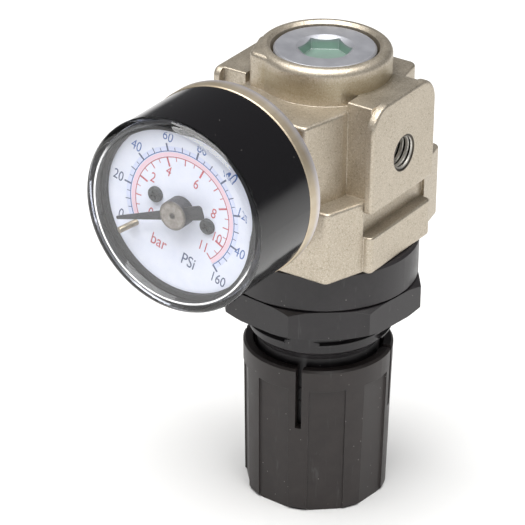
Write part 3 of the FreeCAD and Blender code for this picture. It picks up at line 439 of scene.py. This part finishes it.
FINISHES = {
    "body": BODY_METAL, "valve_guide_plug": plug_metal(), "plug_o_ring": RUBBER,
    "valve_poppet": BRASS_UPRIGHT, "valve_rubber": RUBBER, "valve_spring": SPRING,
    "rear_gauge_plug": STEEL_FACE, "slip_ring": PALE, "diaphragm": RUBBER,
    "relief_seat": BRASS_UPRIGHT, "diaphragm_plate": STEEL, "main_spring": SPRING,
    "bonnet": HOUSING_PLASTIC, "panel_nut": HOUSING_PLASTIC, "adjusting_nut": BRASS_UPRIGHT,
    "thrust_washer": PALE, "adjusting_screw": STEEL, "knob": KNOB_PLASTIC,
    "gauge_socket": BRASS, "gauge_case": case_gold(), "gauge_sleeve": sleeve_black(),
    "lens": lens_clear(), "lens_gasket": GASKET_BLACK, "dial": dial_paint(), "dial_screws": SCREW_BLACK,
    "stop_pin": DULL_BRASS, "pointer": POINTER_BLACK, "pointer_cap": cap_metal(), "pointer_arbor": STEEL_FACE,
    "sector_gear": SHEET_BRASS, "sector_arbor": STEEL_FACE, "bourdon_tube": BRASS, "tube_tip": BRASS,
    "link": STEEL_FACE, "movement_back_plate": SHEET_BRASS, "movement_front_plate": SHEET_BRASS,
    "movement_pillars": BRASS, "movement_screws": STEEL_FACE, "hairspring": SHEET_BRASS,
}


def dress(piece, material):
    piece.data.materials.clear()
    piece.data.materials.append(material)


for node_name, finish in FINISHES.items():
    dress(NODES[node_name], finish)


# ---- mesh helpers -------------------------------------------------------------------------------------
def add_piece(name, vertices, faces, material, body, smooth=True):
    mesh = bpy.data.meshes.new(name)
    mesh.from_pydata(vertices, [], faces)
    turned = bmesh.new()
    turned.from_mesh(mesh)
    bmesh.ops.remove_doubles(turned, verts=turned.verts, dist=1e-7)
    bmesh.ops.recalc_face_normals(turned, faces=turned.faces)
    turned.to_mesh(mesh)
    turned.free()
    piece = bpy.data.objects.new(name, mesh)
    SCENE.collection.objects.link(piece)
    if smooth:
        mesh.shade_smooth()
    dress(piece, material)
    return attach(piece, body)


def arc_points(centre, radius, start_deg, end_deg, steps):
    """(radius, depth) points on a rounded corner of an outline"""
    points = []
    for index in range(steps + 1):
        angle = math.radians(start_deg + (end_deg - start_deg) * index / steps)
        points.append((centre[0] + radius * math.cos(angle), centre[1] + radius * math.sin(angle)))
    return points


def spin_about_gauge(name, outline, material, body, count=192):
    """closed solid of revolution about the gauge's axis, from (radius, depth) points in metres"""
    vertices = []
    for step in range(count):
        angle = math.tau * step / count
        for radius, depth in outline:
            vertices.append((radius * math.cos(angle), -depth, GAUGE_Z + radius * math.sin(angle)))
    size = len(outline)
    faces = []
    for step in range(count):
        here, ahead = step * size, (step + 1) % count * size
        for index in range(size):
            follow = (index + 1) % size
            faces.append((here + index, ahead + index, ahead + follow, here + follow))
    return add_piece(name, vertices, faces, material, body)


# ---- dial printing ------------------------------------------------------------------------------------
ZERO_DEG = 200.5
DEG_PER_PSI = 1.583
DEG_PER_BAR = DEG_PER_PSI * 14.504
DIAL_TILT_DEG = -16.0
FULL_PSI = 160
HALF_BARS = 22
BAR_TICK_R = 7.05       # bar ticks hang inward from here, psi ticks stand outward from theirs
PSI_TICK_R = 7.88
FIGURE_MM = 1.5
UNIT_MM = 1.75
INK_LIFT = 0.012 * MM
INK_DEPTH = 0.010 * MM
RED = dial_ink("ink_red", (0.52, 0.075, 0.10))
BLUE = dial_ink("ink_blue", (0.055, 0.14, 0.42))
NAVY = dial_ink("ink_navy", (0.035, 0.06, 0.16))
PINK = dial_ink("ink_pink", (0.86, 0.62, 0.70))
LAVENDER = dial_ink("ink_lavender", (0.68, 0.72, 0.90))


def on_dial(x_mm, z_mm, lift):
    return (x_mm * MM, DIAL_FACE_Y - lift, GAUGE_Z + z_mm * MM)


def printed_strips(name, outlines, material, lift=INK_LIFT):
    """thin closed plates over the dial, one per (x, z) outline in millimetres"""
    vertices, faces = [], []
    for outline in outlines:
        first, count = len(vertices), len(outline)
        vertices += [on_dial(x, z, lift) for x, z in outline]
        vertices += [on_dial(x, z, lift + INK_DEPTH) for x, z in outline]
        faces.append([first + index for index in range(count)])
        faces.append([first + count + index for index in reversed(range(count))])
        for index in range(count):
            follow = (index + 1) % count
            faces.append([first + follow, first + index, first + count + index, first + count + follow])
    piece = add_piece(name, vertices, faces, material, "housing", smooth=False)
    return piece


def polar_mm(radius, degrees):
    return (radius * math.cos(math.radians(degrees)), radius * math.sin(math.radians(degrees)))


def band_strip(name, inner, outer, start_deg, end_deg, material):
    """one closed band of ink"""
    count = round(abs(end_deg - start_deg) / 2)
    angles = [start_deg + (end_deg - start_deg) * index / count for index in range(count + 1)]
    vertices, faces = [], []
    for angle in angles:
        for radius in (inner, outer):
            for lift in (INK_LIFT, INK_LIFT + INK_DEPTH):
                vertices.append(on_dial(*polar_mm(radius, angle), lift))
    for index in range(count):
        here, there = 4 * index, 4 * index + 4
        for one, two in ((0, 1), (1, 3), (3, 2), (2, 0)):
            faces.append((here + one, here + two, there + two, there + one))
    faces += [(0, 2, 3, 1), (4 * count, 4 * count + 1, 4 * count + 3, 4 * count + 2)]
    piece = add_piece(name, vertices, faces, material, "housing", smooth=False)
    return piece


def tick(inner, outer, angle, width):
    """radial bar"""
    across = polar_mm(width / 2, angle + 90)
    near, far = polar_mm(inner, angle), polar_mm(outer, angle)
    return [(near[0] + across[0], near[1] + across[1]), (near[0] - across[0], near[1] - across[1]),
            (far[0] - across[0], far[1] - across[1]), (far[0] + across[0], far[1] + across[1])]


def printed_text(name, text, x_mm, z_mm, height_mm, material, squeeze=0.78):
    """figures from the built-in typeface, laid on the dial and turned with it"""
    curve = bpy.data.curves.new(name, "FONT")
    curve.body = text
    curve.size = height_mm * MM * 1.35
    curve.align_x = "CENTER"
    curve.align_y = "CENTER"
    curve.extrude = INK_DEPTH / 2
    curve.resolution_u = 6
    holder = bpy.data.objects.new(name, curve)
    SCENE.collection.objects.link(holder)
    bpy.context.view_layer.update()
    mesh = bpy.data.meshes.new_from_object(holder.evaluated_get(bpy.context.evaluated_depsgraph_get()))
    bpy.data.objects.remove(holder)
    turn = Matrix.Rotation(math.radians(DIAL_TILT_DEG), 4, "Z")
    upright = Matrix.Rotation(math.pi / 2, 4, "X")
    narrow = Matrix.Diagonal((squeeze, 1, 1, 1))
    place = Matrix.Translation(Vector(on_dial(x_mm, z_mm, INK_LIFT + INK_DEPTH / 2)))
    mesh.transform(place @ upright @ turn @ narrow)
    piece = bpy.data.objects.new(name, mesh)
    SCENE.collection.objects.link(piece)
    dress(piece, material)
    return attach(piece, "housing")


def psi_angle(value):
    return ZERO_DEG - DEG_PER_PSI * value


def bar_angle(value):
    return ZERO_DEG - DEG_PER_BAR * value


# Printed figures: text, x and z in millimetres from the gauge's axis, ink.
FIGURES = [
    ("0", -4.79, -1.76, RED), ("2", -4.41, 3.23, RED), ("4", -2.02, 4.76, RED), ("6", 2.12, 4.12, RED),
    ("8", 4.79, 0.80, RED), ("10", 5.25, -2.42, RED), ("11", 3.25, -4.18, RED),
    ("0", -9.36, -3.22, NAVY), ("20", -9.73, 2.10, NAVY), ("40", -6.95, 6.95, BLUE),
    ("60", -2.15, 9.55, BLUE), ("80", 3.05, 9.15, BLUE), ("100", 7.25, 6.75, BLUE),
    ("120", 9.35, 1.85, BLUE), ("140", 8.35, -3.45, BLUE), ("160", 5.48, -8.19, NAVY),
]
UNITS = [("bar", -3.55, -5.50, RED), ("PSi", 0.98, -6.99, NAVY)]


def print_dial():
    end = psi_angle(FULL_PSI)
    band_strip("dial_pink_band", 7.20, 7.72, ZERO_DEG, end, PINK)
    band_strip("dial_blue_band", 7.93, 8.50, ZERO_DEG, end, LAVENDER)
    band_strip("dial_red_arc", 7.02, 7.14, ZERO_DEG, end, RED)
    band_strip("dial_blue_arc", 7.80, 7.93, ZERO_DEG, end, BLUE)
    red = []
    for half in range(HALF_BARS + 1):
        length, width = ((1.25, 0.24) if half % 4 == 0 else (0.85, 0.15) if half % 2 == 0 else (0.55, 0.10))
        red.append(tick(BAR_TICK_R - length, BAR_TICK_R, bar_angle(half / 2), width))
    printed_strips("dial_red_ticks", red, RED)
    blue = []
    for step in range(FULL_PSI // 5 + 1):
        length, width = ((1.05, 0.24) if step % 4 == 0 else (0.75, 0.13) if step % 2 == 0 else (0.50, 0.09))
        blue.append(tick(PSI_TICK_R, PSI_TICK_R + length, psi_angle(step * 5), width))
    printed_strips("dial_blue_ticks", blue, NAVY, INK_LIFT + 2 * INK_DEPTH)
    for index, (text, x, z, material) in enumerate(FIGURES):
        printed_text(f"dial_figure_{index}", text, x, z, FIGURE_MM, material)
    for text, x, z, material in UNITS:
        printed_text(f"dial_unit_{text}", text, x, z, UNIT_MM, material)


print_dial()


# ---- fine round pieces over the coarser CAD ones --------------------------------------------------------
def make_lens():
    """lens cap: thick rounded rim in front of the sleeve, thin skirt inside it; close pairs of rings
    keep its flat faces flat"""
    front, back = -LENS_LOW.y, -LENS_HIGH.y
    rim_back = -SLEEVE_LOW.y
    rim_r, rear_r, inner_rim_r = 1.03 * MM, 0.15 * MM, 0.8 * MM
    skirt_r, bore_r = 12.6 * MM, 12.2 * MM
    inner_front = front - 0.65 * MM
    near = 0.02 * MM
    outline = [(bore_r + near, back), (skirt_r - near, back), (skirt_r, back + near)]
    outline += [(skirt_r, rim_back - near), (skirt_r + near, rim_back)]
    outline += arc_points((LENS_R - rear_r, rim_back + rear_r), rear_r, -90, 0, 4)
    outline += arc_points((LENS_R - rim_r, front - rim_r), rim_r, 0, 90, 12)
    outline += [(LENS_R - rim_r - near, front), (0, front), (0, inner_front)]
    outline.append((bore_r - inner_rim_r - near, inner_front))
    outline += arc_points((bore_r - inner_rim_r, inner_front - inner_rim_r), inner_rim_r, 90, 0, 10)
    outline += [(bore_r, back + near), (bore_r, back)]
    piece = spin_about_gauge("lens_cup", outline, FINISHES["lens"], "housing")
    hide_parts("lens")


make_lens()


# ---- floor, lights and camera ---------------------------------------------------------------------------
def make_floor():
    half = 3.0
    corners = [(-half, -half, FLOOR_Z), (half, -half, FLOOR_Z), (half, half, FLOOR_Z), (-half, half, FLOOR_Z)]
    mesh = bpy.data.meshes.new("floor")
    mesh.from_pydata(corners, [], [(0, 1, 2, 3)])
    floor = bpy.data.objects.new("floor", mesh)
    SCENE.collection.objects.link(floor)
    dress(floor, floor_paint())


def aim(thing, place, target):
    thing.location = place
    thing.rotation_mode = "QUATERNION"
    thing.rotation_quaternion = (Vector(place) - Vector(target)).to_track_quat("Z", "Y")


def softbox(name, place, width, height, watts, colour=(1.0, 1.0, 1.0)):
    light = bpy.data.lights.new(name, "AREA")
    light.shape = "RECTANGLE"
    light.size = width
    light.size_y = height
    light.energy = watts
    light.color = colour
    holder = bpy.data.objects.new(name, light)
    SCENE.collection.objects.link(holder)
    aim(holder, place, (0, 0, 0))


def make_lights():
    softbox("overhead", (0.04, -0.16, 0.62), 0.80, 0.55, 9.0, (1.0, 0.995, 0.98))
    world = bpy.data.worlds.new("studio")
    world.use_nodes = True
    world.node_tree.nodes["Background"].inputs["Color"].default_value = (0.96, 0.97, 1.0, 1.0)
    world.node_tree.nodes["Background"].inputs["Strength"].default_value = 0.14
    SCENE.world = world


def make_camera():
    """three-quarter view from the front right and above, with the slight tilt of a hand-held frame"""
    target = Vector((-9.236, 0.0, -2.052)) * MM
    azimuth, elevation, roll = (math.radians(a) for a in (33.2, 27.3, 0.91))
    distance = 0.5
    back = Vector((math.sin(azimuth) * math.cos(elevation), -math.cos(azimuth) * math.cos(elevation),
                   math.sin(elevation)))
    data = bpy.data.cameras.new("camera")
    data.lens = 252.47
    data.sensor_width = 36
    data.clip_start = 0.01
    camera = bpy.data.objects.new("camera", data)
    SCENE.collection.objects.link(camera)
    aim(camera, target + back * distance, target)
    camera.rotation_quaternion = camera.rotation_quaternion @ Matrix.Rotation(roll, 3, "Z").to_quaternion()
    SCENE.camera = camera


make_floor()
make_lights()
make_camera()
SCENE.view_settings.view_transform = "Standard"
